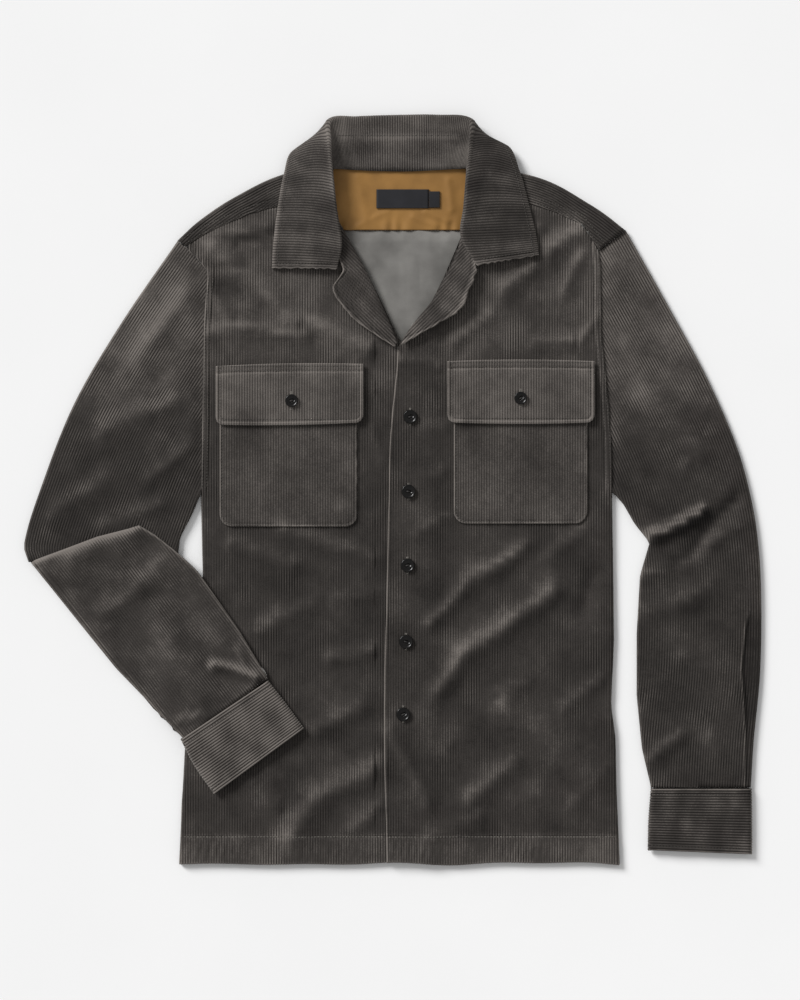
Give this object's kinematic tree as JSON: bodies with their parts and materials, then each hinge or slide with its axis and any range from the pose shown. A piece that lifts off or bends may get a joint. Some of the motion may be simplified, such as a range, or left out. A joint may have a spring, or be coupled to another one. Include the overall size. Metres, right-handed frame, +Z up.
{
  "type": "shacket",
  "caption": "Corduroy overshirt lying flat on its back, buttoned, with an open camp collar, flap chest pockets and one forearm folded in over the body",
  "frame": {"origin": "centre of the bounding box's bottom face, on the surface that the shirt lies on", "axes": "+X to the viewer's right (the wearer's left), +Y from hem to collar, +Z up from the surface, towards the camera"},
  "size_m": [0.7641, 0.7797, 0.0223],
  "materials": {
    "corduroy": "charcoal cotton corduroy, about 9 wales to the inch, brushed pile",
    "cuff_corduroy": "the same corduroy, its wales running round the cuff",
    "inside": "flat back of the corduroy, mid grey plain weave",
    "lining": "ochre cotton twill with a slight sheen",
    "label": "bare near-black woven tape",
    "button": "near-black polished fish-eye button with two holes"
  },
  "bodies": {
    "root": {"yoke": "corduroy", "front_right": "corduroy", "front_left": "corduroy", "facing_right": "corduroy", "facing_left": "corduroy", "collar": "corduroy", "sleeve_left": "corduroy", "sleeve_right": "corduroy", "pocket_right": "corduroy", "pocket_left": "corduroy", "flap_right": "corduroy", "flap_left": "corduroy", "cuff_left": "cuff_corduroy", "cuff_right": "cuff_corduroy", "back": "inside", "yoke_lining": "lining", "label": "label", "size_tab": "label", "button_front_1": "button", "button_front_2": "button", "button_front_3": "button", "button_front_4": "button", "button_front_5": "button", "button_flap_left": "button", "button_flap_right": "button"}
  },
  "joints": []
}
